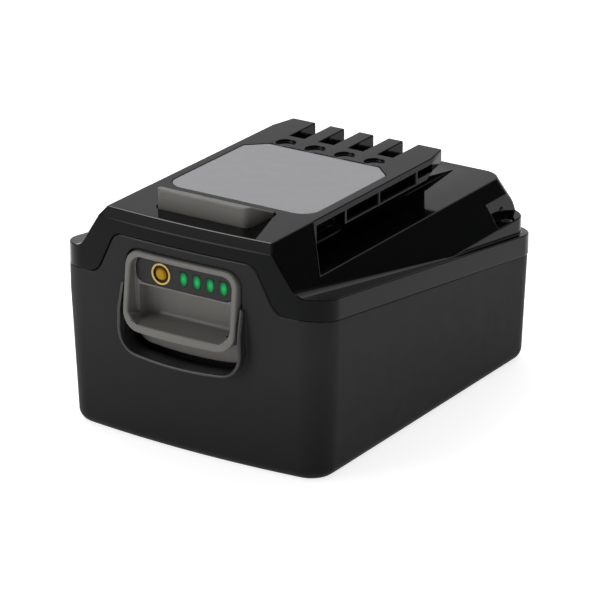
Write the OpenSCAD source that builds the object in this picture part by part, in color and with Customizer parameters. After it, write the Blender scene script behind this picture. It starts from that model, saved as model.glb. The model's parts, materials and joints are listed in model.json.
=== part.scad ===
/* [Body] */
// Width of the pack at the seam
body_w = 84; // [82:0.5:90]
// Length of the pack, front to rear
body_l = 113.6; // [113:0.2:122]
// Bulge of the front face in plan
front_bulge = 2.8; // [1.6:0.1:4]
// Plan radius of the vertical corners
corner_r = 9; // [7:0.5:11]
// Draft of the tub's walls in degrees
draft = 2.3; // [1:0.1:2.8]
// Wall thickness of both shells
wall = 2.2; // [1.8:0.1:2.4]
// Rounding of the tub's bottom edge
foot_r = 3; // [1:0.5:4]
// Height of the seam at mid length
seam_z = 38.3; // [37:0.1:39.4]
// Fall of the seam towards the rear in degrees
seam_tilt = 7.63; // [6.5:0.1:8.5]
// Height of the band above the seam
band_h = 6.1; // [5.4:0.1:6.6]
// How far the skirt stands in from the band
skirt_inset = 1.8; // [1.4:0.1:2.2]
// Height where the flanks rise from the skirt
skirt_z = 42.8; // [42.4:0.1:43.4]
// Slope of the rear flank, run over rise
rear_slope = 0.18; // [0.1:0.01:0.42]
// Play between pieces that are fitted together
fit_gap = 0.15; // [0.1:0.05:0.25]

/* [Rail] */
// Height of the rail platform
platform_z = 64.5; // [64:0.1:67]
// Width of the rail platform
rail_w = 52; // [50:0.5:54]
// Width of the rail's stem
stem_w = 38.4; // [38:0.2:40]
// Height of the deck beside the rail
deck_z = 53.3; // [53:0.1:54]
// Height of the flange's underside
flange_z = 58.7; // [58.2:0.1:59.4]
// Length of the deck behind the rail, up to the rear face
rail_back = 24.4; // [23.8:0.2:26]
// Distance from the front face to the side channels
channel_front = 22.8; // [21.5:0.2:24]
// Thickness of the ribs in the flange's sides
rib_t = 1.2; // [0.9:0.1:1.6]
// Depth of the pockets in the flange's sides
rib_depth = 3.4; // [2:0.2:4.4]
// Height of the ramp behind the rail
ramp_h = 1.8; // [1.2:0.1:2.4]
// Depth of the recess for the label plate
label_depth = 0.5; // [0.4:0.1:0.8]
// Width of the label plate
label_w = 46.3; // [42:0.1:47]

/* [Contacts] */
// Distance between contact slots
slot_pitch = 9.57; // [9.2:0.01:9.9]
// Width of a contact slot
slot_w = 4.8; // [4.4:0.1:5.2]
// Length of a contact slot
slot_l = 13.2; // [12:0.2:14.4]
// Thickness of the contact spring sheet
clip_t = 0.5; // [0.4:0.05:0.6]
// Radius of the round dishes in front of the slots
dish_r = 2.8; // [2:0.1:3]

/* [Release] */
// Width of the release button
button_w = 35.6; // [35.2:0.2:37]
// Height of the button's lower edge
button_z = 33.3; // [33:0.1:34]
// Height of the button, lower edge to upper edge
button_h = 22; // [21.4:0.1:22.2]
// How far the button's upper edge stands proud of the front face
button_proud = 0.7; // [0.4:0.1:1.4]
// Lean of the button's face in degrees, outwards at its lower edge
button_tilt = 6.8; // [5:0.1:8]
// Width of the button's frame
button_bar = 1.5; // [1.3:0.1:1.8]
// Travel of the release, downwards
travel = 5.5; // [5:0.1:5.8]
// Width of the latch tongue
tongue_w = 29.4; // [28:0.2:30]
// Length of the latch tongue
tongue_l = 12.5; // [11:0.1:13]
// Height of the latch tongue above the platform
tongue_h = 5.2; // [4.5:0.1:5.4]
// Running play of the sliding pieces
slide_gap = 0.4; // [0.3:0.05:0.5]
// Wire thickness of the release springs
wire_d = 0.7; // [0.6:0.05:0.8]
// Mean radius of the release springs
spring_r = 3; // [2.8:0.1:3.2]
// Turns of a release spring
spring_turns = 6; // [5:1:7]

/* [Indicators] */
// Height of the indicator panel
panel_h = 6.9; // [6.5:0.1:7.3]
// Thickness of the indicator panel
panel_t = 1.4; // [1:0.1:1.6]
// Depth of the panel behind the front face
panel_in = 1.2; // [0.6:0.1:1.6]
// Radius of the charge button
charge_r = 2.3; // [2.2:0.05:2.6]
// Press of the charge button
press = 0.5; // [0.3:0.05:0.55]
// Distance of the charge button from the middle
charge_x = 7.4; // [7:0.1:8]
// Width of a light window
led_w = 2.3; // [2:0.1:2.8]
// Height of a light window
led_h = 3.7; // [3:0.1:4.2]
// Distance between light windows
led_pitch = 4.2; // [4:0.05:4.3]

/* [Cells] */
// Diameter of a cell
cell_d = 18.3; // [18:0.1:18.5]
// Length of a cell
cell_l = 65.2; // [64.6:0.1:66]
// Web between neighbouring cells
cell_web = 1; // [0.8:0.1:1.1]
// Depth of the cell holders' cups
cup_l = 7.4; // [6:0.2:9]
// Thickness of the nickel strips
strip_t = 0.25; // [0.15:0.05:0.35]
// Thickness of the circuit boards
board_t = 1.6; // [1.2:0.1:1.8]
// Height of the posts under the main board
post_h = 2.8; // [2.2:0.1:3.2]

/* [Hidden] */
$fn = 48;

// Colours
gloss_black = "#141416";
satin_black = "#232326";
warm_grey = "#6c6a66";
panel_grey = "#3b3b3f";
gold = "#c9a227";
led_green = "#27c46c";
label_silver = "#b4b6ba";
nickel = "#b9bab8";
steel = "#8a8c90";
cell_blue = "#3a6ea8";
holder_grey = "#4a4d52";
board_green = "#1f5a3a";
chip_black = "#1b1b1d";
paper_grey = "#9fb3a0";

// Large extent for cutting solids
far = 150;
// Facets of a rounded plan corner and of the front arc
corner_steps = 10;
front_steps = 14;

// Plan of the pack
half_w = body_w / 2;
front_y = -body_l / 2;
rear_y = body_l / 2;
front_r = (half_w * half_w + front_bulge * front_bulge) / (2 * front_bulge);
front_c = front_y + front_r;

// Upper housing
skirt_hw = half_w - skirt_inset;
skirt_step = 1.7;
skirt_rear = rear_y - skirt_inset - skirt_step;
core_corner_r = 6;
rail_hw = rail_w / 2;
stem_hw = stem_w / 2;
flank_k = (skirt_hw - rail_hw) / (platform_z - skirt_z);
flank_share = 1.2;
flank_inset = wall * flank_share;
nose_chamfer = 2.3;
rail_end = rear_y - rail_back;
channel_y = front_y + channel_front;
channel_slant = 1.09;
flange_drop = 1.5;
flange_lift = 1.8;
end_taper = [1.7, 7.9];
ramp_l = 14.6;
lip_t = 2;
bar_t = 1;
rib_places = [15.5, 31.9, 50.8];
rib_run = 59.3;
platform_under = platform_z - wall;
rail_roof = platform_under - 0.3;
rail_room_hw = stem_hw - 2;
nose_rear = channel_y - 11;
slot_y = rail_end - slot_l;
slot_floor = deck_z + ramp_h;
rail_room_end = slot_y - wall;
dish_y = slot_y - 5.6;
dish_depth = 0.7;
label_in = 25.2;
label_front = front_y + label_in;
label_rear = dish_y - dish_r - 0.1;
label_cut = [5.3, 4.8];
label_corner_r = 5;
shoulder_r = [4.6, 0.8];
shoulder_end = (seam_z + band_h - skirt_z) / tan(seam_tilt) - 2;
shoulder_sink = 0.02;

// Seam lip and tab round the button
lip_h = 3;
lip_w = 1.4;
lip_run = [-40, 36];
tab_rise = 3.1;
tab_edge = 4.1;
tab_top = button_z + button_h + tab_rise;
tab_hw = button_w / 2 + tab_edge;
tab_run = 6.4;
tab_r = [5.2, 4];
foot_in = 0.3;
rim_w = 1.1;
rim_proud = 2.8;
rim_top = seam_z + 7.7;
rim_top_proud = 1;
rim_tilt = 14;

// Corner screws
screw_x = half_w - 4.3;
screw_y = rear_y - 11.8;
screw_r = 1.25;
screw_head_r = 1.8;
screw_head_h = 1.6;
screw_l = 17;
screw_sink = 2.1;
screw_wall = 1.7;
screw_pocket_l = 19.8;
pocket_t = 1.4;
screw_column_r = 2.4;

// Cells and holders, set out from the floor and the rear wall, as many columns as fit behind the release
scoop_depth = 5.6;
scoop_back_t = 1.8;
cell_fit = 0.1;
holder_edge = 1.2;
holder_end = 1.2;
holder_play = 0.35;
bulkhead_t = 1.2;
pitch = cell_d + cell_web;
rows = 2;
block_edges = 2 * (holder_edge + cell_fit);
block_front = front_y + scoop_depth + scoop_back_t + slide_gap + bulkhead_t + holder_play;
holder_rear = min(rear_y - wall - seam_z * tan(draft), skirt_rear - wall) - holder_play;
columns = floor((holder_rear - block_front - block_edges + cell_web) / pitch);
first_y = holder_rear - holder_edge - cell_fit - cell_d / 2;
first_z = wall + holder_edge + cell_fit + cell_d / 2;
holder_front = first_y - (columns - 1) * pitch - cell_d / 2 - cell_fit - holder_edge;
holder_top = first_z + (rows - 1) * pitch + cell_d / 2 + cell_fit + holder_edge;
holder_in = cell_l / 2 - cup_l;
bulkhead_y = holder_front - holder_play - bulkhead_t;
holder_out = cell_l / 2 + holder_end;
strip_hw = 6;
pad_r = 4;

// Main board on its posts
board_z = holder_top + post_h;
board_top = board_z + board_t;
board_hw = holder_in + 6.8;
board_front = holder_front + 11;
board_rear = holder_rear - 6;
post_x = holder_in + 3.3;
post_in = 14;
post_places = [board_front + post_in, board_rear - post_in];
post_r = 2.6;
board_screw_r = 1;
board_screw_head = [2.2, 1.3];
board_screw_bite = 3.4;
board_corner_r = [2, 5];
sheet_t = 0.3;
transistor_in = 10;
transistor_pitch = 9;
transistor_size = [6.4, 6, 2.2];
transistor_tab = [5.2, 3, 0.6];
chip_in = 6;
chip_size = [9, 9, 1.3];
thermistor_in = 20;
thermistor_x = 5;
thermistor_size = [3, 2, 1.2];
lead_w = 3.6;
lead_in = 0.8;

// Contacts
slot_count = 4;
clip_l = 6.4;
clip_y = slot_y + 1.2;
clip_hw = 1.3;
clip_top = platform_z - 3;
clip_throat = 0.4;
block_top = deck_z - wall - fit_gap;
block_edge = 2.4;

// Release button and carrier plate
button_hw = button_w / 2;
button_top = button_z + button_h;
button_face = front_y - button_proud - button_h * tan(button_tilt);
button_top_hw = button_hw - 0.1;
button_bow = 0.3;
window_gap = 0.6;
window_z = button_z - 6.9;
window_bow = 0.9;
window_r = 6;
window_low = button_hw + 0.85;
window_high = button_top_hw + window_gap;
carrier_y = front_y + wall + seam_z * tan(draft) - 0.1;
carrier_t = 2;
carrier_hw = button_hw + 3.8;
carrier_top = button_top + 4.7;
carrier_foot = button_z + 2.6;
skirt_foot = window_z + 1.3;
skirt_foot_hw = button_hw - 0.4;
skirt_bow = 0.8;
scoop_fall = 0.8;
scoop_back = front_y + scoop_depth;
opening_hw = button_hw - button_bar;
opening_z = button_z + 1.6 * button_bar;
opening_top = button_top - 0.85 * button_bar;
opening_taper = 0.5;
panel_top = opening_top - opening_taper - 2 * fit_gap;
panel_z = panel_top - panel_h;
panel_hw = opening_hw - opening_taper - 2 * fit_gap;
panel_edge = 0.8;
panel_seat = 0.4;
panel_face = front_y + panel_in;
panel_back = panel_face + panel_t;
mid_z = panel_z + panel_h / 2;
charge_crown = 0.5;
charge_sink = 0.2;
charge_dome_r = 0.7 * charge_r;
charge_flange = 0.35;
charge_trim = 0.65;
charge_trim_h = 0.25;

// Latch slider
tongue_y = front_y + 9;
slider_t = 2.8;
slider_top = rail_roof - 0.3;
slider_z = slider_top - slider_t;
slider_hw = rail_room_hw - 0.6;
slider_front = carrier_y + carrier_t;
slider_rear = tongue_y + tongue_l + 1.7;
arm_t = 2.2;
arm_x = [panel_hw - 0.4, panel_hw + 3.3];
arm_z = panel_z + 1.4;

// Bracket, springs and indicator board
bracket_t = 1.2;
bracket_top = holder_top + bracket_t;
spring_x = 8;
stud_r = spring_r - wire_d / 2 - 0.6;
stud_h = 4.2;
spring_z = bracket_top;
spring_len = slider_z - bracket_top;
wire_sides = 6;
turn_steps = 8;
led_first = -0.4;
led_count = 4;
chip_t = 1;
pipe_end = carrier_y + carrier_t + 3.2;
led_face = pipe_end + 0.4;
indicator_front = led_face + chip_t;
indicator_back = indicator_front + board_t;
indicator_hw = panel_hw - 0.4;
indicator_top = slider_z - travel - slide_gap;
upright_w = 3;
bridge_t = 1;
plunger_r = 1;
plunger_h = 0.5;
stem_end = indicator_front - chip_t - plunger_h - press - 0.1;
spring_y = indicator_back + slide_gap + wire_d / 2 + spring_r;
bracket_rear = spring_y + spring_r + wire_d;

// Strips join the columns in pairs, shifted by one column on the left
right_strips = [for (c = [0:2:columns - 1]) [c, min(c + 1, columns - 1)]];
left_strips = concat([[0, 0]], [for (c = [1:2:columns - 1]) [c, min(c + 1, columns - 1)]]);
strip_columns = concat(right_strips, left_strips);

// Points of an arc about a centre, from one angle to another
function arc(c, r, a0, a1, n) =
    [for (i = [0:n]) let (a = a0 + (a1 - a0) * i / n) c + r * [cos(a), sin(a)]];

// One rounded corner at p, between its neighbours a and b
function corner(a, p, b, r, n) =
    r == 0 ? [p] : let (
        u = (a - p) / norm(a - p),
        v = (b - p) / norm(b - p),
        half = acos(u * v) / 2,
        c = p + (u + v) / norm(u + v) * r / sin(half),
        s = p + u * r / tan(half) - c,
        e = p + v * r / tan(half) - c,
        a0 = atan2(s.y, s.x),
        da = atan2(s.x * e.y - s.y * e.x, s * e)
    ) arc(c, r, a0, a0 + da, n);

// A closed outline with a radius at each point
function rounded(pts, radii, n = 6) =
    let (k = len(pts))
    [for (i = [0:k - 1]) each corner(pts[(i + k - 1) % k], pts[i], pts[(i + 1) % k], radii[i], n)];

// Outline from a half outline, mirrored about the middle; the first and last points stay apart
function both_sides(half) = concat(half, [for (i = [len(half) - 1:-1:0]) [-half[i].x, half[i].y]]);

// Plan of the pack, drawn in by an inset, with the bulged front
function outline(inset) = let (
        w = half_w - inset,
        l = rear_y - inset,
        r = corner_r - inset,
        big = front_r - inset,
        cy = front_c - sqrt((big - r) * (big - r) - (w - r) * (w - r)),
        turn = atan2(cy - front_c, w - r),
        front = arc([0, front_c], big, 180 - turn, 360 + turn, front_steps)
    ) concat(
        arc([w - r, l - r], r, 0, 90, corner_steps),
        arc([r - w, l - r], r, 90, 180, corner_steps),
        arc([r - w, cy], r, 180, 180 - turn, corner_steps),
        [for (i = [1:front_steps - 1]) front[i]],
        arc([w - r, cy], r, 360 + turn, 360, corner_steps)
    );

// Inset of the drafted wall at a height
function lean(z) = max(0, seam_z - z) * tan(draft);

// Plan of the upper housing's core at a height
function core_plan(z, inset) = let (
        rise = max(0, z - skirt_z),
        w = skirt_hw - rise * flank_k - inset,
        l = skirt_rear - rise * rear_slope - inset / flank_share,
        r = core_corner_r - inset / 2
    ) rounded([[-w, front_y - 10], [w, front_y - 10], [w, l], [-w, l]], [0, 0, r, r], corner_steps);

// Solid between stacked outlines of equal point count
module skin(paths, heights) {
    n = len(paths[0]);
    k = len(paths);
    points = [for (i = [0:k - 1]) each [for (p = paths[i]) [p.x, p.y, heights[i]]]];
    sides = [for (i = [0:k - 2]) each [for (j = [0:n - 1]) let (m = (j + 1) % n, b = i * n, t = b + n)
        each [[b + j, t + j, t + m], [b + j, t + m, b + m]]]];
    base = [for (j = [0:n - 1]) j];
    top = [for (j = [n - 1:-1:0]) (k - 1) * n + j];
    polyhedron(points, concat([base], sides, [top]));
}

// Outline in X and Z, pushed along Y
module along_y(y0, y1) {
    translate([0, y1, 0])
        rotate([90, 0, 0])
            linear_extrude(y1 - y0)
                children();
}

// Outline in Y and Z, pushed along X
module along_x(x0, x1) {
    translate([x0, 0, 0])
        rotate([90, 0, 90])
            linear_extrude(x1 - x0)
                children();
}

// Block given by its two corners
module block(a, b) {
    translate(a)
        cube(b - a);
}

// The same on the right and on the left
module both() {
    children();
    mirror([1, 0, 0])
        children();
}

// All that lies under a plane parallel to the seam
module below(z) {
    translate([0, 0, z])
        rotate([-seam_tilt, 0, 0])
            block([-far, -far, -2 * far], [far, far, 0]);
}

// Prism over the plan of the pack
module plan_prism(inset, z0, z1) {
    translate([0, 0, z0])
        linear_extrude(z1 - z0)
            polygon(outline(inset));
}

// Core of the upper housing, drawn in by an inset
module core(inset, top) {
    heights = [seam_z - 20, skirt_z, top];
    skin([for (z = heights) core_plan(z, inset)], heights);
}

// Half outline of the tab that the tub raises round the button
function tab_half(grow) = let (
        base = seam_z - front_y * tan(seam_tilt) - 0.15 + grow,
        hw = tab_hw + grow,
        top = tab_top + grow
    ) [[hw + 18, base - 8], [hw + 18, base - 0.7], [hw + tab_run, base], [hw, top]];

// Whole outline of the tab with its corners rounded
function tab_points(grow) = rounded(
        both_sides(tab_half(grow)),
        [0, 0, tab_r[0], tab_r[1], tab_r[1], tab_r[0], 0, 0]
    );

// Outline with a bowed lower edge: half widths below and above, heights, bow and corner radii
function bowed(low, high, z0, z1, bow, r_low, r_high) = let (
        run = low - 1.3 * r_low,
        apex = z0 - bow * run / low
    ) rounded(
        [[0, apex], [low, apex + 2 * bow], [high, z1], [-high, z1], [-low, apex + 2 * bow]],
        [run * low / (2 * bow), r_low, r_high, r_high, r_low]
    );

// Outline of the label recess
function label_points(gap) = let (
        w = label_w / 2 - gap,
        y0 = label_front + gap,
        y1 = label_rear - gap
    ) rounded(
        [
            [-w, y0],
            [w, y0],
            [w, y1 - label_cut.y],
            [w - label_cut.x, y1],
            [label_cut.x - w, y1],
            [-w, y1 - label_cut.y]
        ],
        [label_corner_r, label_corner_r, 1, 1, 1, 1]
    );

// Upright cylinder of the bulged front, grown outwards
module front_cylinder(grow) {
    translate([0, front_c, 0])
        cylinder(r = front_r + grow, h = platform_z, $fn = 720);
}

// The same cylinder, leaning back from a place on the front
module leaning_front(proud, z, tilt) {
    translate([0, front_y - proud, z])
        rotate([-tilt, 0, 0])
            translate([0, front_r, 0])
                cylinder(r = front_r, h = far, center = true, $fn = 720);
}

// Outside of the tub, drawn in by an inset
module tub_form(inset) {
    foot = [for (a = [0:15:90]) [foot_r * (1 - cos(a)), foot_r * (1 - sin(a))]];
    heights = concat([for (f = foot) f.x], [seam_z, tab_top + 5]);
    insets = concat([for (f = foot) f.y + lean(f.x) + inset], [inset, inset]);
    skin([for (i = insets) outline(i)], heights);
}

// Room inside the tub
module tub_room() {
    heights = [wall, wall + foot_in, seam_z, tab_top + 10];
    insets = [lean(wall) + wall + foot_in, lean(wall) + wall, wall, wall];
    skin([for (i = insets) outline(i)], heights);
}

module lower_housing() {
    tab = tab_points(0);
    color(satin_black)
        difference() {
            union() {
                intersection() {
                    difference() {
                        tub_form(0);
                        tub_room();
                    }
                    union() {
                        below(seam_z);
                        along_y(front_y - 5, front_y + wall + 3)
                            polygon(tab);
                    }
                }
                intersection() {
                    tub_form(wall / 2);
                    block([-far, bulkhead_y, 0], [far, bulkhead_y + bulkhead_t, holder_top - slide_gap]);
                }
                intersection() {
                    front_cylinder(rim_proud);
                    leaning_front(rim_top_proud, rim_top, rim_tilt);
                    along_y(front_y - 5, front_y + wall)
                        polygon(bowed(
                            window_low + rim_w,
                            window_high + rim_w,
                            window_z - 0.8 * rim_w,
                            rim_top,
                            window_bow,
                            window_r + rim_w,
                            0.8
                        ));
                }
                intersection() {
                    both()
                        translate([screw_x, screw_y, seam_z - screw_l - 3])
                            cylinder(r = screw_column_r, h = screw_l + 6);
                    below(seam_z);
                }
            }
            along_y(front_y - 8, front_y + wall + 5)
                polygon(bowed(
                    window_low,
                    window_high,
                    window_z,
                    button_top + window_gap,
                    window_bow,
                    window_r,
                    4.5
                ));
            both()
                translate([screw_x, screw_y, skirt_z - screw_sink - screw_l - 1])
                    cylinder(r = screw_r + fit_gap, h = screw_l);
        }
}

// Channels beside and behind the rail, open above the deck
module channel_cut() {
    side_y = channel_y - (half_w - rail_hw) * channel_slant;
    translate([0, 0, deck_z])
        linear_extrude(platform_z)
            both()
                polygon([
                    [rail_hw, channel_y],
                    [half_w, side_y],
                    [half_w, rear_y + 10],
                    [0, rear_y + 10],
                    [0, rail_end],
                    [rail_hw - end_taper.x, rail_end],
                    [rail_hw, rail_end - end_taper.y]
                ]);
}

// Room under the flange, with its stepped underside
module flange_cut() {
    stem_y = channel_y + (rail_hw - stem_hw) * channel_slant;
    both()
        intersection() {
            along_x(stem_hw, rail_hw + 1)
                polygon([
                    [channel_y - 5, deck_z],
                    [channel_y - 5, flange_z - flange_drop],
                    [channel_y + 11, flange_z - flange_drop],
                    [channel_y + 15, flange_z],
                    [rail_end - 10.9, flange_z],
                    [rail_end - 7.4, flange_z + flange_lift],
                    [rail_end + 1, flange_z + flange_lift],
                    [rail_end + 1, deck_z]
                ]);
            translate([0, 0, deck_z - 1])
                linear_extrude(platform_z)
                    polygon([
                        [stem_hw, stem_y],
                        [rail_hw + 2, channel_y - 2 * channel_slant],
                        [rail_hw + 2, rear_y],
                        [stem_hw, rear_y]
                    ]);
        }
}

// Pockets between the ribs in the flange's sides
module rib_cuts() {
    edges = concat([1], rib_places, [rib_run]);
    both()
        for (i = [0:len(edges) - 2]) {
            low = i == 0 ? flange_z - flange_drop : (i == len(edges) - 2 ? flange_z + 1 : flange_z);
            block(
                [rail_hw - rib_depth, channel_y + edges[i] + rib_t / 2, low + bar_t],
                [rail_hw + 1, channel_y + edges[i + 1] - rib_t / 2, platform_z - lip_t]
            );
        }
}

// Corner pocket for a housing screw, grown for the wall round it
module screw_pocket(grow) {
    both()
        block([screw_x - screw_wall - grow, rear_y - screw_pocket_l - grow, skirt_z - grow], [far, far, far]);
}

// Hollow of the upper housing
module upper_room() {
    intersection() {
        plan_prism(wall, 0, platform_z);
        below(seam_z + band_h - wall);
    }
    difference() {
        intersection() {
            core(flank_inset, deck_z - wall);
            plan_prism(wall, 0, platform_z);
        }
        screw_pocket(pocket_t);
    }
    intersection() {
        core(flank_inset, platform_under);
        plan_prism(wall, 0, platform_z);
        block([-far, -far, 0], [far, nose_rear, far]);
    }
    block([-rail_room_hw, nose_rear - 1, deck_z - wall - 1], [rail_room_hw, rail_room_end, rail_roof]);
}

// Cross-section of the concave fillet between ledge and flank, at a place along the pack
function shoulder_points(y, r) = let (
        z = seam_z + band_h - y * tan(seam_tilt) - shoulder_sink,
        p = [skirt_hw - (z - skirt_z) * flank_k - shoulder_sink, z]
    ) concat([p - [1, 1]], corner(p + [1, 0], p, p + [-flank_k, 1], r, 6));

// Fillet between the band's ledge and the right flank, wide at the front
module shoulder() {
    y0 = front_y - 2;
    rotate([90, 0, 0])
        skin(
            [shoulder_points(shoulder_end, shoulder_r[1]), shoulder_points(y0, shoulder_r[0])],
            [-shoulder_end, -y0]
        );
}

// Outside of the upper housing, before the rail is cut
module upper_form() {
    cone_r = front_r + platform_z - nose_chamfer;
    difference() {
        union() {
            intersection() {
                plan_prism(0, 0, platform_z);
                below(seam_z + band_h);
            }
            intersection() {
                union() {
                    core(0, platform_z);
                    both()
                        shoulder();
                }
                plan_prism(0, 0, platform_z + 1);
                translate([0, front_c, 0])
                    cylinder(r1 = cone_r, r2 = cone_r - platform_z - 1, h = platform_z + 1, $fn = 720);
            }
        }
        below(seam_z);
    }
}

// Ramp on the deck behind the rail
module rail_ramp() {
    along_x(-stem_hw, stem_hw)
        polygon([
            [rail_end - 1, deck_z - 1],
            [rail_end + ramp_l, deck_z - 1],
            [rail_end + ramp_l, deck_z],
            [rail_end + 1, deck_z + ramp_h],
            [rail_end - 1, deck_z + ramp_h]
        ]);
}

// Contact slots with the passages of the clips, and the dishes in front of them
module slot_cuts() {
    for (i = [1:slot_count]) {
        x = slot_x(i);
        block([x - slot_w / 2, slot_y, slot_floor], [x + slot_w / 2, rail_end + 1, platform_z + 1]);
        block(
            [x - clip_hw - 2 * fit_gap, clip_y - 2 * fit_gap, deck_z - wall - 1],
            [x + clip_hw + 2 * fit_gap, clip_y + clip_l + 2 * fit_gap, slot_floor + 1]
        );
        translate([x, dish_y, platform_z - dish_depth])
            cylinder(r = dish_r, h = dish_depth + 1);
    }
}

// Slot in the platform for the latch tongue
module tongue_slot() {
    w = tongue_w / 2 + slide_gap;
    y0 = tongue_y - slide_gap;
    y1 = tongue_y + tongue_l + slide_gap;
    translate([0, 0, rail_roof - 1])
        linear_extrude(platform_z)
            polygon(rounded([[-w, y0], [w, y0], [w, y1], [-w, y1]], [2.4, 2.4, 1, 1]));
}

// Lip that locates the upper housing inside the tub
module seam_lip() {
    out = half_w - wall - 4 * fit_gap;
    both()
        translate([0, 0, seam_z])
            rotate([-seam_tilt, 0, 0]) {
                block([out - lip_w, lip_run[0], -lip_h], [out, lip_run[1], 2]);
                block([out - lip_w, lip_run[0], 0], [half_w - wall + 0.5, lip_run[1], 2]);
            }
}

module upper_housing() {
    tab = tab_points(fit_gap);
    color(gloss_black)
        difference() {
            union() {
                difference() {
                    union() {
                        difference() {
                            upper_form();
                            channel_cut();
                            flange_cut();
                            rib_cuts();
                        }
                        rail_ramp();
                    }
                    upper_room();
                    slot_cuts();
                    tongue_slot();
                    translate([0, 0, platform_z - label_depth])
                        linear_extrude(label_depth + 1)
                            polygon(label_points(0));
                    along_y(front_y - 5, front_y + wall + 3)
                        polygon(tab);
                    screw_pocket(0);
                }
                difference() {
                    both()
                        translate([screw_x, screw_y, seam_z - 10])
                            cylinder(r = screw_column_r, h = skirt_z - seam_z + 10);
                    below(seam_z);
                }
                seam_lip();
            }
            both()
                translate([screw_x, screw_y, 0]) {
                    cylinder(r = screw_r + fit_gap, h = skirt_z + 1);
                    translate([0, 0, skirt_z - screw_sink])
                        cylinder(r = screw_head_r + fit_gap, h = screw_sink + 3);
                }
        }
}

module label_plate() {
    color(label_silver)
        translate([0, 0, platform_z - label_depth])
            linear_extrude(label_depth - 0.1)
                polygon(label_points(fit_gap));
}

// Screw along -Z with a cross recess, its head's seat at the origin
module cross_screw(r, l, head_r, head_h) {
    difference() {
        union() {
            translate([0, 0, -l])
                cylinder(r = r, h = l + head_h / 2);
            cylinder(r = head_r, h = head_h);
        }
        for (a = [0, 90])
            rotate([0, 0, a])
                block(
                    [-head_r * 0.6, -head_r * 0.12, head_h * 0.5],
                    [head_r * 0.6, head_r * 0.12, head_h + 1]
                );
    }
}

module housing_screws() {
    color(steel)
        both()
            translate([screw_x, screw_y, skirt_z - screw_sink])
                cross_screw(screw_r, screw_l, screw_head_r, screw_head_h);
}

// Outline of the indicator panel
function panel_points(grow) = let (
        w = panel_hw + grow,
        z0 = panel_z - grow,
        z1 = panel_top + grow
    ) rounded([[-w, z0], [w, z0], [w, z1], [-w, z1]], [3, 3, 2.5, 2.5]);

// Outline of the opening in the button's face, drawn in by an inset
function opening_points(inset) = let (
        w = opening_hw - inset
    ) bowed(w, w, opening_z + inset, opening_top - inset, button_bow, 4, 3);

// Opening in the button's face, over the panel and the scoop, narrower at its floor
module face_opening() {
    translate([0, panel_face, 0])
        rotate([90, 0, 0])
            skin(
                [opening_points(opening_taper), opening_points(0), opening_points(0)],
                [0, panel_face - button_face, panel_face - button_face + 2]
            );
}

// Finger scoop under the indicator panel
module scoop() {
    w = opening_hw - opening_taper;
    z0 = opening_z;
    z1 = panel_z - panel_edge;
    intersection() {
        along_y(button_face - 4, scoop_back)
            polygon(rounded([[-w, z0], [w, z0], [w, z1], [-w, z1]], [4, 4, 1, 1]));
        translate([0, 0, button_z])
            linear_extrude(button_h)
                polygon(rounded(
                    [
                        [-w - 1, button_face - 4],
                        [w + 1, button_face - 4],
                        [w - 2.4, scoop_back],
                        [2.4 - w, scoop_back]
                    ],
                    [0, 0, 3.5, 3.5]
                ));
        along_x(-button_hw, button_hw)
            polygon(rounded(
                [
                    [button_face - 4, z0 - scoop_fall / 2],
                    [scoop_back, z0 + scoop_fall],
                    [scoop_back, z1 + 1],
                    [button_face - 4, z1 + 1]
                ],
                [0, 1, 0, 0]
            ));
    }
}

module release_button() {
    carrier_back = carrier_y + carrier_t;
    box_hw = button_hw - 0.5;
    color(warm_grey)
        difference() {
            union() {
                intersection() {
                    along_y(button_face - 1, carrier_back)
                        polygon(bowed(button_hw, button_top_hw, button_z, button_top, button_bow, 5.5, 4));
                    leaning_front(button_proud, button_top, button_tilt);
                }
                along_y(carrier_y, scoop_back + scoop_back_t)
                    polygon(rounded(
                        [
                            [-box_hw, button_z],
                            [box_hw, button_z],
                            [box_hw, panel_z + 0.4],
                            [-box_hw, panel_z + 0.4]
                        ],
                        [5, 5, 0, 0]
                    ));
                along_y(carrier_y, carrier_back) {
                    polygon(rounded(
                        [
                            [-carrier_hw, carrier_foot],
                            [carrier_hw, carrier_foot],
                            [carrier_hw, carrier_top],
                            [-carrier_hw, carrier_top]
                        ],
                        [2, 2, 2, 2]
                    ));
                    polygon(bowed(
                        skirt_foot_hw,
                        skirt_foot_hw,
                        skirt_foot,
                        carrier_foot + 4,
                        skirt_bow,
                        5,
                        0
                    ));
                }
            }
            face_opening();
            along_y(panel_face - 0.5, panel_back)
                polygon(panel_points(fit_gap));
            block(
                [-panel_hw + panel_edge, button_face, panel_z + panel_seat],
                [panel_hw - panel_edge, carrier_back + 1, panel_top - panel_seat]
            );
            scoop();
        }
}

module latch_slider() {
    w = tongue_w / 2;
    y1 = tongue_y + tongue_l;
    crest = platform_z + tongue_h;
    arm_back = slider_front + arm_t;
    color(warm_grey) {
        intersection() {
            along_x(-w, w)
                polygon(rounded(
                    [
                        [tongue_y, slider_z],
                        [y1, slider_z],
                        [y1, platform_z + 0.5],
                        [tongue_y + 2, crest],
                        [tongue_y, crest]
                    ],
                    [0, 0, 0.4, 3, 0.6]
                ));
            translate([0, 0, slider_z])
                linear_extrude(platform_z)
                    polygon(rounded([[-w, tongue_y], [w, tongue_y], [w, y1], [-w, y1]], [2, 2, 0.6, 0.6]));
        }
        block([-slider_hw, slider_front, slider_z], [slider_hw, slider_rear, slider_top]);
        both() {
            block([arm_x[0], slider_front, arm_z], [arm_x[1], arm_back, slider_top]);
            translate([spring_x, spring_y, slider_z - stud_h / 2])
                cylinder(r = stud_r, h = stud_h / 2 + slider_t / 2);
        }
    }
}

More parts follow.
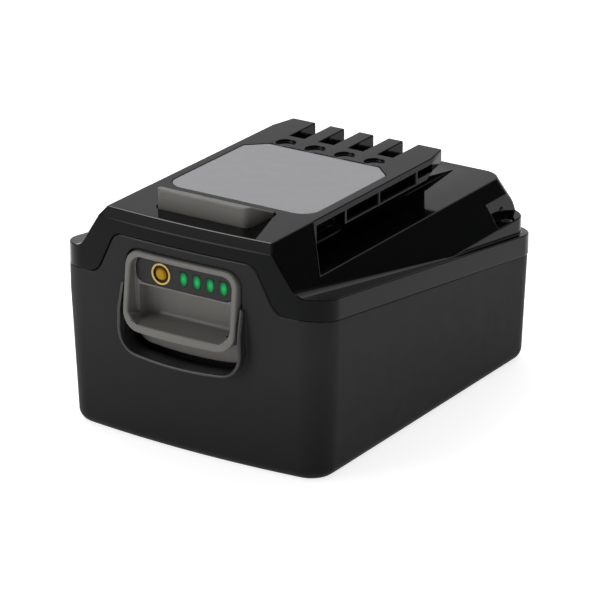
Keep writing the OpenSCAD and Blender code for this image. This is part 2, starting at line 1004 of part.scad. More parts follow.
// Outline of one light window
function light_points(i, grow) = let (
        x = led_first + (i - 1) * led_pitch,
        w = led_w / 2 + grow,
        h = led_h / 2 + grow
    ) rounded(
        [[x - w, mid_z - h], [x + w, mid_z - h], [x + w, mid_z + h], [x - w, mid_z + h]],
        [0.7, 0.7, 0.7, 0.7]
    );

// Axis of the charge button, with +Z of the children along +Y
module charge_axis(y) {
    translate([-charge_x, y, mid_z])
        rotate([-90, 0, 0])
            children();
}

module indicator_panel() {
    color(panel_grey)
        difference() {
            along_y(panel_face, panel_back)
                polygon(panel_points(0));
            for (i = [1:led_count])
                along_y(panel_face - 1, panel_back + 1)
                    polygon(light_points(i, fit_gap / 2));
            charge_axis(panel_face - 1)
                cylinder(r = charge_r + fit_gap, h = panel_t + 2);
        }
}

module charge_button() {
    flange_y = panel_back + fit_gap;
    dome_edge = 0.4;
    color(gold) {
        charge_axis(panel_face + charge_sink)
            cylinder(r = charge_r, h = flange_y - panel_face - charge_sink + 0.4);
        charge_axis(panel_face - charge_crown)
            cylinder(r1 = charge_dome_r - dome_edge, r2 = charge_dome_r, h = dome_edge);
        charge_axis(panel_face - charge_crown + dome_edge)
            cylinder(r = charge_dome_r, h = charge_crown + charge_sink);
        charge_axis(flange_y)
            cylinder(r = charge_r + charge_flange, h = 0.8);
        charge_axis(flange_y)
            cylinder(r = charge_r / 2, h = stem_end - flange_y);
    }
}

module charge_ring() {
    color(gold)
        charge_axis(panel_face - charge_trim_h)
            difference() {
                cylinder(r = charge_r + charge_trim, h = charge_trim_h);
                translate([0, 0, -1])
                    cylinder(r = charge_r + fit_gap, h = 3);
            }
}

module light_pipes() {
    last = led_first + (led_count - 1) * led_pitch;
    color(led_green) {
        for (i = [1:led_count])
            along_y(panel_face - 0.1, pipe_end)
                polygon(light_points(i, 0));
        block(
            [led_first - led_w / 2, panel_back, mid_z - led_h / 4],
            [last + led_w / 2, panel_back + bridge_t, mid_z + led_h / 4]
        );
    }
}

// Middle line of a release spring at a step of its helix
function spring_point(i) = let (
        a = 360 * i / turn_steps,
        k = i / (spring_turns * turn_steps)
    ) [spring_r * cos(a), spring_r * sin(a), wire_d / 2 + k * (spring_len - wire_d - slide_gap)];

// Release spring as one tube along its helix
module release_spring(side) {
    rings = spring_turns * turn_steps;
    points = [for (i = [0:rings]) let (p = spring_point(i), out = [p.x, p.y, 0] / spring_r)
        each [for (j = [0:wire_sides - 1]) let (a = 360 * j / wire_sides)
            p + wire_d / 2 * (cos(a) * out + sin(a) * [0, 0, 1])]];
    sides = [for (i = [0:rings - 1]) each [for (j = [0:wire_sides - 1])
        let (m = (j + 1) % wire_sides, b = i * wire_sides, t = b + wire_sides)
        each [[b + j, t + j, t + m], [b + j, t + m, b + m]]]];
    first = [for (j = [0:wire_sides - 1]) j];
    last = [for (j = [wire_sides - 1:-1:0]) rings * wire_sides + j];
    color(steel)
        translate([side * spring_x, spring_y, spring_z])
            polyhedron(points, concat([first], sides, [last]));
}

// Least gap between the turns of a release spring, measured along its middle line
spring_gap = min([for (i = [0:spring_turns * turn_steps])
    for (j = [i + turn_steps / 2:spring_turns * turn_steps])
        norm(spring_point(i) - spring_point(j))]) - wire_d;
echo(release_spring_gap = spring_gap);

module latch_bracket() {
    color(holder_grey) {
        block(
            [-holder_out + 0.5, indicator_front - 0.4, holder_top],
            [holder_out - 0.5, bracket_rear, bracket_top]
        );
        both() {
            translate([spring_x, spring_y, holder_top + bracket_t / 2])
                cylinder(r = stud_r, h = stud_h + bracket_t / 2);
            block(
                [indicator_hw - upright_w, indicator_back, holder_top + bracket_t / 2],
                [indicator_hw, indicator_back + 2, indicator_top]
            );
        }
    }
}

module indicator_board() {
    color(board_green)
        block([-indicator_hw, indicator_front, bracket_top], [indicator_hw, indicator_back, indicator_top]);
}

module tact_switch() {
    body = 2.2;
    color(chip_black) {
        block(
            [-charge_x - body, indicator_front - chip_t, mid_z - body],
            [-charge_x + body, indicator_front, mid_z + body]
        );
        charge_axis(indicator_front - chip_t - plunger_h)
            cylinder(r = plunger_r, h = plunger_h + chip_t / 2);
    }
}

module indicator_leds() {
    color("white")
        for (i = [1:led_count]) {
            x = led_first + (i - 1) * led_pitch;
            block([x - 0.8, led_face, mid_z - 1.2], [x + 0.8, indicator_front, mid_z + 1.2]);
        }
}

// Places of the cells: columns run from the rear, rows from the floor
function cell_y(column) = first_y - column * pitch;
function cell_z(row) = first_z + row * pitch;

// The right-hand cell holder
module holder() {
    w = holder_edge + 3;
    color(holder_grey)
        difference() {
            union() {
                translate([0, 0, wall])
                    linear_extrude(holder_top - wall)
                        polygon(rounded(
                            [
                                [holder_in, holder_front],
                                [holder_out, holder_front],
                                [holder_out, holder_rear],
                                [holder_in, holder_rear]
                            ],
                            [0, w, w, 0]
                        ));
                for (y = post_places)
                    translate([post_x, y, holder_top - 0.5])
                        cylinder(r = post_r, h = post_h + 0.5);
            }
            for (c = [0:columns - 1])
                for (r = [0:rows - 1])
                    translate([0, cell_y(c), cell_z(r)])
                        rotate([0, 90, 0]) {
                            cylinder(r = cell_d / 2 + cell_fit, h = cell_l / 2);
                            cylinder(r = pad_r + 1, h = holder_out + 1);
                        }
            for (y = post_places)
                translate([post_x, y, board_z - 4])
                    cylinder(r = board_screw_r + fit_gap / 2, h = 6);
        }
}

module holder_right() {
    holder();
}

module holder_left() {
    mirror([1, 0, 0])
        holder();
}

// One cell along X, its raised end to the right
module cell() {
    r = cell_d / 2;
    color(cell_blue)
        translate([-cell_l / 2, 0, 0])
            rotate([0, 90, 0])
                rotate_extrude()
                    polygon([
                        [0, 0],
                        [r - 0.6, 0],
                        [r, 0.6],
                        [r, cell_l - 4.2],
                        [r - 0.6, cell_l - 3.7],
                        [r - 0.6, cell_l - 3.1],
                        [r, cell_l - 2.6],
                        [r, cell_l - 1.6],
                        [r - 0.8, cell_l - 0.9],
                        [pad_r, cell_l - 0.9],
                        [pad_r, cell_l],
                        [0, cell_l]
                    ]);
}

// Cell by its number: odd ones lie below, even ones above
module placed_cell(i) {
    column = floor((i - 1) / rows);
    translate([0, cell_y(column), cell_z((i - 1) % rows)])
        mirror([column % 2, 0, 0])
            cell();
}

// Nickel strip on the right, over the columns from one to another
module strip(from, to) {
    z0 = cell_z(0) - strip_hw;
    z1 = cell_z(rows - 1) + strip_hw;
    y0 = cell_y(to) - strip_hw;
    y1 = cell_y(from) + strip_hw;
    color(nickel)
        difference() {
            union() {
                along_x(holder_out, holder_out + strip_t)
                    polygon(rounded([[y0, z0], [y1, z0], [y1, z1], [y0, z1]], [2, 2, 2, 2]));
                for (c = [from:to])
                    for (r = [0:rows - 1])
                        translate([cell_l / 2, cell_y(c), cell_z(r)])
                            rotate([0, 90, 0])
                                cylinder(r = pad_r, h = holder_end + strip_t / 2);
            }
            for (c = [from:to])
                for (r = [0:rows - 1])
                    block(
                        [cell_l / 2 - 1, cell_y(c) - 0.5, cell_z(r) - pad_r + 1],
                        [holder_out + 1, cell_y(c) + 0.5, cell_z(r) + pad_r + 1]
                    );
        }
}

// Strip by its number: the right-hand ones come first
module placed_strip(i) {
    mirror([i > len(right_strips) ? 1 : 0, 0, 0])
        strip(strip_columns[i - 1][0], strip_columns[i - 1][1]);
}

module insulation_sheet() {
    w = holder_out - 1;
    color(paper_grey)
        difference() {
            block([-w, board_front, holder_top], [w, holder_rear - 1, holder_top + sheet_t]);
            for (y = post_places)
                both()
                    translate([post_x, y, holder_top - 1])
                        cylinder(r = post_r + 2 * fit_gap, h = 3);
        }
}

module main_board() {
    color(board_green)
        difference() {
            translate([0, 0, board_z])
                linear_extrude(board_t)
                    polygon(rounded(
                        [
                            [-board_hw, board_front],
                            [board_hw, board_front],
                            [board_hw, board_rear],
                            [-board_hw, board_rear]
                        ],
                        [board_corner_r[0], board_corner_r[0], board_corner_r[1], board_corner_r[1]]
                    ));
            for (y = post_places)
                both()
                    translate([post_x, y, board_z - 1])
                        cylinder(r = board_screw_r + fit_gap, h = board_t + 2);
        }
}

module board_screws() {
    color(steel)
        both()
            for (y = post_places)
                translate([post_x, y, board_top])
                    cross_screw(board_screw_r, board_t + board_screw_bite, board_screw_head[0], board_screw_head[1]);
}

module power_transistors() {
    y = post_places[0] + transistor_in;
    back = y + transistor_size.y;
    hw = transistor_size.x / 2;
    leg_hw = transistor_tab.x / 2;
    color(chip_black)
        for (i = [0:3]) {
            x = (i - 1.5) * transistor_pitch;
            block([x - hw, y, board_top], [x + hw, back, board_top + transistor_size.z]);
            block(
                [x - leg_hw, back - 1, board_top],
                [x + leg_hw, back - 1 + transistor_tab.y, board_top + transistor_tab.z]
            );
        }
}

module control_chip() {
    at = [-chip_size.x / 2, post_places[0] - chip_in, board_top];
    color(chip_black)
        block(at, at + chip_size);
}

module thermistor() {
    at = [thermistor_x, post_places[0] + thermistor_in, board_z - thermistor_size.z];
    color(chip_black)
        block(at, at + thermistor_size);
}

// Tab from a strip up to the main board, on the right
module lead(y0) {
    x0 = holder_out + strip_t;
    x1 = board_hw - 2;
    color(nickel)
        along_y(y0, y0 + lead_w)
            polygon([
                [x0, cell_z(rows - 1)],
                [x0 + strip_t, cell_z(rows - 1)],
                [x0 + strip_t, board_top + strip_t],
                [x1, board_top + strip_t],
                [x1, board_top],
                [x0, board_top]
            ]);
}

module lead_positive() {
    mirror([1, 0, 0])
        lead(cell_y(0) - strip_hw + lead_in);
}

module lead_negative() {
    mirror([1 - columns % 2, 0, 0])
        lead(cell_y(columns - 1) + strip_hw - lead_in - lead_w);
}

// Place of a contact slot across the rail
function slot_x(i) = (i - (slot_count + 1) / 2) * slot_pitch;

module terminal_block() {
    w = slot_x(slot_count) + clip_hw + block_edge;
    color(chip_black)
        difference() {
            block([-w, clip_y - 2, board_top], [w, clip_y + clip_l + 2, block_top]);
            for (i = [1:slot_count])
                block(
                    [slot_x(i) - clip_hw - fit_gap, clip_y - fit_gap, board_top - 1],
                    [slot_x(i) + clip_hw + fit_gap, clip_y + clip_l + fit_gap, block_top + 1]
                );
        }
}

// Contact clip: a folded spring sheet with two leaves that close to a throat
module contact_clip(i) {
    flare = clip_throat + 0.5;
    color(nickel)
        translate([slot_x(i), 0, 0])
            along_y(clip_y, clip_y + clip_l)
                polygon(both_sides([
                    [clip_hw, board_top],
                    [clip_hw, slot_floor + 1.5],
                    [clip_throat + clip_t, clip_top - 1.8],
                    [flare + clip_t, clip_top],
                    [flare, clip_top],
                    [clip_throat, clip_top - 1.8],
                    [clip_hw - clip_t, slot_floor + 1.5],
                    [clip_hw - clip_t, board_top + clip_t]
                ]));
}

lower_housing();
upper_housing();
label_plate();
housing_screws();
release_button();
latch_slider();
indicator_panel();
charge_button();
charge_ring();
light_pipes();
release_spring(-1);  // release_spring_left
release_spring(1);  // release_spring_right
latch_bracket();
indicator_board();
tact_switch();
indicator_leds();
holder_left();
holder_right();
insulation_sheet();
main_board();
board_screws();
power_transistors();
control_chip();
thermistor();
lead_positive();
lead_negative();
terminal_block();
for (i = [1:slot_count])
    contact_clip(i);
for (i = [1:len(strip_columns)])
    placed_strip(i);
for (i = [1:rows * columns])
    placed_cell(i);
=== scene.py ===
"""Looks of a power tool battery pack: moulded shells with rounded edges, finishes, studio and camera."""

import json
import math

import bmesh
import bpy
from mathutils import Matrix, Vector


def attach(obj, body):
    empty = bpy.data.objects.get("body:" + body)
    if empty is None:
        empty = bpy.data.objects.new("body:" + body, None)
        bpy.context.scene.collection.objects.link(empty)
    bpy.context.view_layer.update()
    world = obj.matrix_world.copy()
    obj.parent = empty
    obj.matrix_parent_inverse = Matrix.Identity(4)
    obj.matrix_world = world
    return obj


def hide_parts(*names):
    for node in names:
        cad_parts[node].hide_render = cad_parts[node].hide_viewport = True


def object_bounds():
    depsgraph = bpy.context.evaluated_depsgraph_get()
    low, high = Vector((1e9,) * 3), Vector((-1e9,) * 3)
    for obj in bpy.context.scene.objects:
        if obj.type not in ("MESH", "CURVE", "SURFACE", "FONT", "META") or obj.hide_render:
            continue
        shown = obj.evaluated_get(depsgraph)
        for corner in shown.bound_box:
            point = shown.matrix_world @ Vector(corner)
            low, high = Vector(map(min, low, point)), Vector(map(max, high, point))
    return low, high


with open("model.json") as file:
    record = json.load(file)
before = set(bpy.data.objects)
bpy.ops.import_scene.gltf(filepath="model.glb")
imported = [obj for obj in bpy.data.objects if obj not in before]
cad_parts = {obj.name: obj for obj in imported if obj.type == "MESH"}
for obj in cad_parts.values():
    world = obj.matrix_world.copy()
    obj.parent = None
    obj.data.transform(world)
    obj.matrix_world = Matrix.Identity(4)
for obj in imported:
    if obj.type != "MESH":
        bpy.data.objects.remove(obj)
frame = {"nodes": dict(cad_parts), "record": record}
cad_low, cad_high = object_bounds()
nodes = frame["nodes"]
scene = bpy.context.scene
MM = 0.001
WHITE = (1, 1, 1, 1)


# Node helpers

def link(tree, source, target):
    tree.links.new(source, target)


def noise(tree, scale, detail):
    """Noise in the object's own frame; scale counts features per metre."""
    coords = tree.nodes.new("ShaderNodeTexCoord")
    texture = tree.nodes.new("ShaderNodeTexNoise")
    texture.inputs["Scale"].default_value = scale
    texture.inputs["Detail"].default_value = detail
    link(tree, coords.outputs["Object"], texture.inputs["Vector"])
    return texture.outputs["Fac"]


def remap(tree, value, low, high, start, stop):
    """The value's range from start to stop, spread from low to high."""
    node = tree.nodes.new("ShaderNodeMapRange")
    node.inputs["From Min"].default_value = start
    node.inputs["From Max"].default_value = stop
    node.inputs["To Min"].default_value = low
    node.inputs["To Max"].default_value = high
    link(tree, value, node.inputs["Value"])
    return node.outputs["Result"]


def blend_colours(tree, share, first, second):
    node = tree.nodes.new("ShaderNodeMix")
    node.data_type = "RGBA"
    node.inputs["A"].default_value = (*first, 1)
    node.inputs["B"].default_value = (*second, 1)
    link(tree, share, node.inputs["Factor"])
    return node.outputs["Result"]


def calculate(tree, operation, first, second=0.0, third=0.0):
    """One step of arithmetic; each value is a socket or a number."""
    node = tree.nodes.new("ShaderNodeMath")
    node.operation = operation
    for socket, value in zip(node.inputs, (first, second, third)):
        if isinstance(value, (int, float)):
            socket.default_value = value
        else:
            link(tree, value, socket)
    return node.outputs["Value"]


def place(tree):
    """X, Y and Z in the object's own frame, in metres."""
    coords = tree.nodes.new("ShaderNodeTexCoord")
    split = tree.nodes.new("ShaderNodeSeparateXYZ")
    link(tree, coords.outputs["Object"], split.inputs["Vector"])
    return split.outputs["X"], split.outputs["Y"], split.outputs["Z"]


def distance(tree, across, up):
    """Length of a vector from its two parts."""
    across_square = calculate(tree, "MULTIPLY", across, across)
    up_square = calculate(tree, "MULTIPLY", up, up)
    return calculate(tree, "SQRT", calculate(tree, "ADD", across_square, up_square))


def bump(tree, shader, height, strength, depth):
    node = tree.nodes.new("ShaderNodeBump")
    node.inputs["Strength"].default_value = strength
    node.inputs["Distance"].default_value = depth
    link(tree, height, node.inputs["Height"])
    link(tree, node.outputs["Normal"], shader.inputs["Normal"])


# Finishes

# Scale and detail of the colour patches and of the smears in the roughness
PATCHES = (60.0, 3.0)
SMEARS = (220.0, 5.0)
GRAIN_DETAIL = 2.0
# Part of the noise's range that is spread over the roughness
NOISE_SPREAD = (0.3, 0.7)


def surface(name, dark, light, rough, grain, inputs):
    """A finish with two close colours, a range of roughness and a fine grain.

    dark and light are the two colours, rough the lowest and highest roughness, grain the
    features per metre, the strength and the depth of the bump, and inputs the shader's other values.
    """
    material = bpy.data.materials.new(name)
    material.use_nodes = True
    tree = material.node_tree
    shader = tree.nodes["Principled BSDF"]
    for socket, value in inputs.items():
        shader.inputs[socket].default_value = value
    patches = noise(tree, *PATCHES)
    link(tree, blend_colours(tree, patches, dark, light), shader.inputs["Base Color"])
    smears = noise(tree, *SMEARS)
    link(tree, remap(tree, smears, *rough, *NOISE_SPREAD), shader.inputs["Roughness"])
    scale, strength, depth = grain
    bump(tree, shader, noise(tree, scale, GRAIN_DETAIL), strength, depth)
    return material


# Dark and light colour, roughness, grain and the shader's other values
FINISHES = {
    "tub_satin": ((0.0165, 0.0165, 0.017), (0.018, 0.018, 0.0185), (0.52, 0.57), (3200, 0.16, 6e-5), {}),
    "cover_gloss": (
        (0.002, 0.0022, 0.0024), (0.0028, 0.003, 0.0032), (0.05, 0.09), (900, 0.01, 5e-5), {"IOR": 1.19}
    ),
    "label_silver": (
        (0.225, 0.225, 0.237), (0.25, 0.25, 0.262), (0.36, 0.44), (5000, 0.1, 3e-5), {"Metallic": 0.2}
    ),
    "release_grey": (
        (0.122, 0.118, 0.108), (0.137, 0.133, 0.122), (0.38, 0.46), (3000, 0.2, 6e-5), {"IOR": 1.35}
    ),
    "panel_grey": (
        (0.01, 0.01, 0.0105), (0.014, 0.014, 0.015), (0.38, 0.46), (3600, 0.12, 5e-5), {"IOR": 1.3}
    ),
    "charge_gold": (
        (0.36, 0.195, 0.003), (0.36, 0.195, 0.003), (0.34, 0.42), (4000, 0.1, 3e-5), {"IOR": 1.2}
    ),
    "ring_gold": ((0.5, 0.33, 0.06), (0.56, 0.38, 0.08), (0.3, 0.4), (4000, 0.05, 3e-5), {}),
    "light_green": (
        (0.001, 0.02, 0.008), (0.002, 0.03, 0.011), (0.3, 0.4), (2000, 0.05, 3e-5), {"IOR": 1.2}
    ),
    "screw_steel": (
        (0.2, 0.2, 0.21), (0.28, 0.28, 0.29), (0.28, 0.42), (6000, 0.1, 2e-5), {"Metallic": 0.9}
    ),
    "spring_steel": (
        (0.42, 0.42, 0.43), (0.5, 0.5, 0.51), (0.24, 0.34), (6000, 0.1, 2e-5), {"Metallic": 1.0}
    ),
    "nickel": ((0.55, 0.54, 0.5), (0.64, 0.63, 0.59), (0.22, 0.36), (5000, 0.1, 2e-5), {"Metallic": 1.0}),
    "cell_wrap": ((0.03, 0.12, 0.32), (0.04, 0.15, 0.38), (0.28, 0.38), (1500, 0.1, 4e-5), {}),
    "holder_grey": ((0.05, 0.055, 0.06), (0.06, 0.066, 0.072), (0.45, 0.55), (3000, 0.15, 5e-5), {}),
    "board_green": ((0.01, 0.08, 0.035), (0.014, 0.1, 0.045), (0.3, 0.4), (4000, 0.15, 3e-5), {}),
    "chip_black": ((0.008, 0.008, 0.009), (0.012, 0.012, 0.013), (0.4, 0.5), (4000, 0.15, 3e-5), {}),
    "led_white": ((0.7, 0.7, 0.62), (0.8, 0.8, 0.72), (0.25, 0.35), (4000, 0.05, 3e-5), {}),
    "sheet_grey": ((0.32, 0.38, 0.32), (0.38, 0.44, 0.38), (0.6, 0.7), (3000, 0.2, 4e-5), {}),
}
FINISH = {name: surface(name, *row) for name, row in FINISHES.items()}

# Charge display: middle of the lights and of the button, in metres
DISPLAY_Z = 0.04977
CHARGE_X = -0.0074
LIGHT_X = -0.0004
LIGHT_PITCH = 0.0042
LIGHT_HALF = (0.00115, 0.00185)
# Brightest place of a light as a share of the pitch, and the glow's reach in half widths
LIGHT_PEAK = 0.55
LIGHT_REACH = (0.1, 1.05)
LIGHT_DIM = (0.0005, 0.03, 0.009)
LIGHT_BRIGHT = (0.004, 0.46, 0.10)
# Radius where the charge button's gold turns to brown
CHARGE_EDGE = (0.00156, 0.00166)
CHARGE_BROWN = (0.030, 0.016, 0.005, 1)
# The collar stands in front of the first depth; edges that look up have a normal above the rise
RIM_Y = (-0.0573, -0.0570)
RIM_RISE = (0.25, 0.5)
RIM_SMOOTH = 0.25
RIM_IOR = (1.165, 1.4)
# Painted shade: factor on the tub's colour at the floor and from the height of FOOT_RISE up
FOOT_SHADE = (0.45, 1.15)
FOOT_RISE = 0.035


def light_windows(material):
    """Lit windows, brightest right of their middle and dark at the edge."""
    tree = material.node_tree
    shader = tree.nodes["Principled BSDF"]
    x, _, z = place(tree)
    step = calculate(tree, "DIVIDE", calculate(tree, "SUBTRACT", x, LIGHT_X - LIGHT_PITCH / 2), LIGHT_PITCH)
    across = calculate(tree, "SUBTRACT", calculate(tree, "FRACT", step), LIGHT_PEAK)
    across = calculate(tree, "MULTIPLY", across, LIGHT_PITCH / LIGHT_HALF[0])
    up = calculate(tree, "DIVIDE", calculate(tree, "SUBTRACT", z, DISPLAY_Z), LIGHT_HALF[1])
    glow = remap(tree, distance(tree, across, up), 1.0, 0.0, *LIGHT_REACH)
    link(tree, blend_colours(tree, glow, LIGHT_DIM, LIGHT_BRIGHT), shader.inputs["Emission Color"])
    shader.inputs["Emission Strength"].default_value = 1.0


def colour_over(material, blend):
    """A new blend on top of a finish's own colour; its share and second colour are still to be set."""
    tree = material.node_tree
    base = tree.nodes["Principled BSDF"].inputs["Base Color"]
    node = tree.nodes.new("ShaderNodeMix")
    node.data_type = "RGBA"
    node.blend_type = blend
    link(tree, base.links[0].from_socket, node.inputs["A"])
    link(tree, node.outputs["Result"], base)
    return node


def charge_disc(material):
    """Brown ring round the golden middle."""
    tree = material.node_tree
    x, _, z = place(tree)
    across = calculate(tree, "SUBTRACT", x, CHARGE_X)
    up = calculate(tree, "SUBTRACT", z, DISPLAY_Z)
    ring = colour_over(material, "MIX")
    link(tree, remap(tree, distance(tree, across, up), 0.0, 1.0, *CHARGE_EDGE), ring.inputs["Factor"])
    ring.inputs["B"].default_value = CHARGE_BROWN


def painted_foot_shade(material):
    """Painted shade: the tub's colour falls off towards its foot."""
    tree = material.node_tree
    _, _, z = place(tree)
    fall = colour_over(material, "MULTIPLY")
    fall.inputs["Factor"].default_value = 1.0
    link(tree, remap(tree, z, *FOOT_SHADE, 0.0, FOOT_RISE), fall.inputs["B"])


def polished_rim(material):
    """The collar round the button and the edges that look up are smoother than the grain."""
    tree = material.node_tree
    shader = tree.nodes["Principled BSDF"]
    _, y, _ = place(tree)
    split = tree.nodes.new("ShaderNodeSeparateXYZ")
    link(tree, tree.nodes.new("ShaderNodeNewGeometry").outputs["Normal"], split.inputs["Vector"])
    collar = remap(tree, y, 1.0, 0.0, *RIM_Y)
    rim = calculate(tree, "MAXIMUM", collar, remap(tree, split.outputs["Z"], 0.0, 1.0, *RIM_RISE))
    grain = shader.inputs["Roughness"].links[0].from_socket
    link(tree, calculate(tree, "MULTIPLY_ADD", rim, -RIM_SMOOTH, grain), shader.inputs["Roughness"])
    link(tree, remap(tree, rim, *RIM_IOR, 0.0, 1.0), shader.inputs["IOR"])


polished_rim(FINISH["tub_satin"])
# painted shade that darkens the tub's colour towards its foot
painted_foot_shade(FINISH["tub_satin"])
light_windows(FINISH["light_green"])
charge_disc(FINISH["charge_gold"])


# Moulded pieces from the CAD nodes

# Edges that turn by more than this are rounded
SHARP = math.radians(22.0)
# Points closer than this are joined, edges shorter than the sliver and turns less than flat removed
WELD = 0.06 * MM
SLIVER = WELD / 10
FLAT = math.radians(0.3)
# Cosine from which a neighbouring edge counts as in line, and share of the others that rounding may use
IN_LINE = 0.85
SPARE = 0.45
# Faces with more corners are cut into triangles, because rounding folds them
RING = 15
ROUND_STEPS = 3
LEVEL_WEIGHT = 100


def wanted(edge, width, zones):
    """Rounding of an edge in metres: that of the first zone it lies in, or the piece's own."""
    middle = (edge.verts[0].co + edge.verts[1].co) / (2 * MM)
    spot = (abs(middle.x), middle.y, middle.z)
    for low, high, zone_width in zones:
        if all(a <= c <= b for a, c, b in zip(low, spot, high)):
            return zone_width * MM
    return width * MM


def room_beside(edge):
    """Largest rounding that the neighbouring edges leave room for."""
    along = (edge.verts[1].co - edge.verts[0].co).normalized()
    room = math.inf
    for vert in edge.verts:
        for other in vert.link_edges:
            across = (other.other_vert(vert).co - vert.co).normalized()
            if abs(across.dot(along)) < IN_LINE:
                room = min(room, SPARE * other.calc_length())
    return room


def moulded(node, body, finish, width, zones):
    """A copy of a CAD node with rounded edges, which stands for it; widths are in millimetres."""
    mesh = nodes[node].data.copy()
    mesh.name = node + "_moulded"
    work = bmesh.new()
    work.from_mesh(mesh)
    bmesh.ops.remove_doubles(work, verts=work.verts, dist=WELD)
    bmesh.ops.dissolve_degenerate(work, dist=SLIVER, edges=work.edges)
    bmesh.ops.dissolve_limit(work, angle_limit=FLAT, verts=work.verts, edges=work.edges)
    widest = max([width] + [zone[2] for zone in zones]) * MM
    weight = work.edges.layers.float.new("bevel_weight_edge")
    for edge in work.edges:
        if len(edge.link_faces) == 2 and edge.calc_face_angle() > SHARP:
            edge[weight] = min(wanted(edge, width, zones), room_beside(edge)) / widest
    rings = [face for face in work.faces if len(face.verts) > RING]
    bmesh.ops.triangulate(work, faces=rings)
    work.to_mesh(mesh)
    work.free()
    mesh.materials.clear()
    mesh.materials.append(FINISH[finish])
    mesh.polygons.foreach_set("use_smooth", [True] * len(mesh.polygons))
    piece = bpy.data.objects.new(mesh.name, mesh)
    scene.collection.objects.link(piece)
    rounding = piece.modifiers.new("rounding", "BEVEL")
    rounding.width = widest
    rounding.segments = ROUND_STEPS
    rounding.limit_method = "WEIGHT"
    rounding.use_clamp_overlap = False
    rounding.loop_slide = False
    level = piece.modifiers.new("level", "WEIGHTED_NORMAL")
    level.weight = LEVEL_WEIGHT
    level.keep_sharp = False
    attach(piece, body)
    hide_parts(node)


# Finish, rounding and its zones: low and high corner in millimetres, to both sides, and the rounding there
ROUNDED = {
    "lower_housing": ("tub_satin", 0.35, [
        ((0, -65, 20), (20.3, -54, 47), 0.4),
        ((0, -65, 47), (18.8, -50, 56.5), 0.086),
        ((20.3, -58, 45.8), (30.4, -55, 60), 0.6),
        ((0, -58, 57), (21, -55, 60), 0.6),
    ]),
    "upper_housing": ("cover_gloss", 0.35, [((0, -60, 60), (30, -50, 70), 0.5)]),
    "label_plate": ("label_silver", 0.1, []),
    "release_button": ("release_grey", 0.3, [((0, -65, 30), (20, -56, 58), 0.5)]),
    "latch_slider": ("release_grey", 0.4, [((0, -38, 60), (20, -34, 66.5), 0.08)]),
    "indicator_panel": ("panel_grey", 0.15, []),
}
bodies = {n: b for b, names in frame["record"]["behaviour"]["bodies"].items() for n in names}
for node, (finish, width, zones) in ROUNDED.items():
    moulded(node, bodies[node], finish, width, zones)

# Finish of every other node, by the slot that it brings along
for name, node in nodes.items():
    if name not in ROUNDED:
        slot = node.data.materials[0].name.split(".")[0]
        node.data.materials.clear()
        node.data.materials.append(FINISH[slot])


# Studio

FLOOR_HALF = 6.0
FLOOR_GLOW = 0.8
FLOOR_FINISH = (
    (0.50, 0.50, 0.50), (0.52, 0.52, 0.52), (0.6, 0.7), (400, 0.02, 1e-4),
    {"Emission Color": WHITE, "Emission Strength": FLOOR_GLOW},
)


def studio_floor():
    """Plain pale floor that the pack stands on."""
    mesh = bpy.data.meshes.new("floor")
    corners = [(x * FLOOR_HALF, y * FLOOR_HALF, 0) for x, y in ((-1, -1), (1, -1), (1, 1), (-1, 1))]
    mesh.from_pydata(corners, [], [(0, 1, 2, 3)])
    mesh.materials.append(surface("floor_white", *FLOOR_FINISH))
    floor = bpy.data.objects.new("floor", mesh)
    scene.collection.objects.link(floor)
    floor.location.z = cad_low.z


studio_floor()


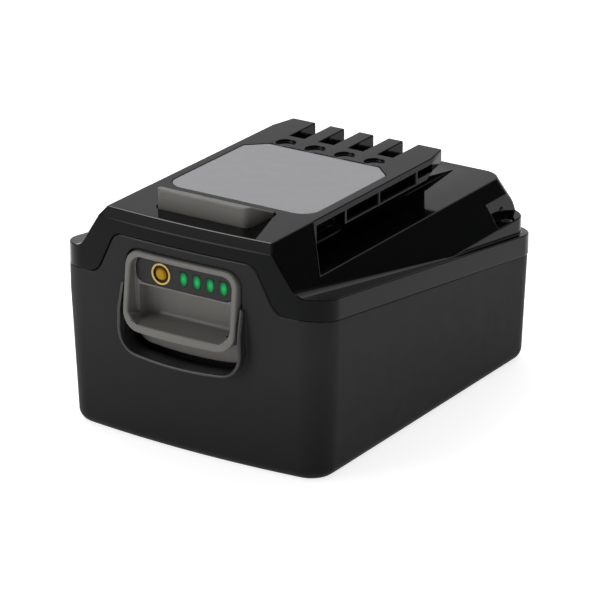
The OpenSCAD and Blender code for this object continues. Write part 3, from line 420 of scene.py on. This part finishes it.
def softbox(tree, direction, inner, outer, strength):
    """Light from round a direction in the sky, full within one angle and gone at another."""
    coords = tree.nodes.new("ShaderNodeTexCoord")
    dot = tree.nodes.new("ShaderNodeVectorMath")
    dot.operation = "DOT_PRODUCT"
    dot.inputs[1].default_value = Vector(direction).normalized()
    link(tree, coords.outputs["Generated"], dot.inputs[0])
    edge = tree.nodes.new("ShaderNodeMapRange")
    edge.interpolation_type = "SMOOTHSTEP"
    edge.inputs["From Min"].default_value = math.cos(math.radians(outer))
    edge.inputs["From Max"].default_value = math.cos(math.radians(inner))
    edge.inputs["To Max"].default_value = strength
    link(tree, dot.outputs["Value"], edge.inputs["Value"])
    return edge.outputs["Result"]


# Direction, full angle, outer angle and strength of each soft light
SOFTBOXES = [
    ((-0.50, 0.30, 0.81), 6, 12, 14.0),
    ((-0.10, 0.30, 0.95), 20, 60, 0.6),
    ((-0.51, 0.78, 0.37), 24, 50, 0.66),
    ((-0.52, -0.85, 0.08), 6, 14, 5.0),
    ((-0.52, -0.78, 0.34), 8, 16, 4.0),
    ((-0.51, -0.45, 0.73), 10, 24, 1.6),
]
AMBIENT = 0.12

world = bpy.data.worlds.new("studio")
scene.world = world
world.use_nodes = True
sky = world.node_tree
light = AMBIENT
for box in SOFTBOXES:
    light = calculate(sky, "ADD", light, softbox(sky, *box))
link(sky, light, sky.nodes["Background"].inputs["Strength"])
sky.nodes["Background"].inputs["Color"].default_value = WHITE
scene.view_settings.view_transform = "Standard"


# Camera at the photograph's angle

CAMERA_AZIMUTH = math.radians(33.458)
CAMERA_ELEVATION = math.radians(21.54)
CAMERA_DISTANCE = 1.02535
CAMERA_ROLL = math.radians(-0.17)
CAMERA_TARGET = Vector((-0.000382, -0.000700, 0.025814))
CAMERA_LENS = 225.13
SENSOR_WIDTH = 36.0
CLIP_START = 0.05

camera_data = bpy.data.cameras.new("camera")
camera_data.sensor_width = SENSOR_WIDTH
camera_data.lens = CAMERA_LENS
camera_data.clip_start = CLIP_START
camera = bpy.data.objects.new("camera", camera_data)
scene.collection.objects.link(camera)
flat = math.cos(CAMERA_ELEVATION)
back = Vector((
    math.sin(CAMERA_AZIMUTH) * flat,
    -math.cos(CAMERA_AZIMUTH) * flat,
    math.sin(CAMERA_ELEVATION),
))
camera.location = CAMERA_TARGET + back * CAMERA_DISTANCE
aim = (-back).to_track_quat("-Z", "Y").to_matrix().to_4x4()
camera.rotation_euler = (aim @ Matrix.Rotation(CAMERA_ROLL, 4, "Z")).to_euler()
scene.camera = camera
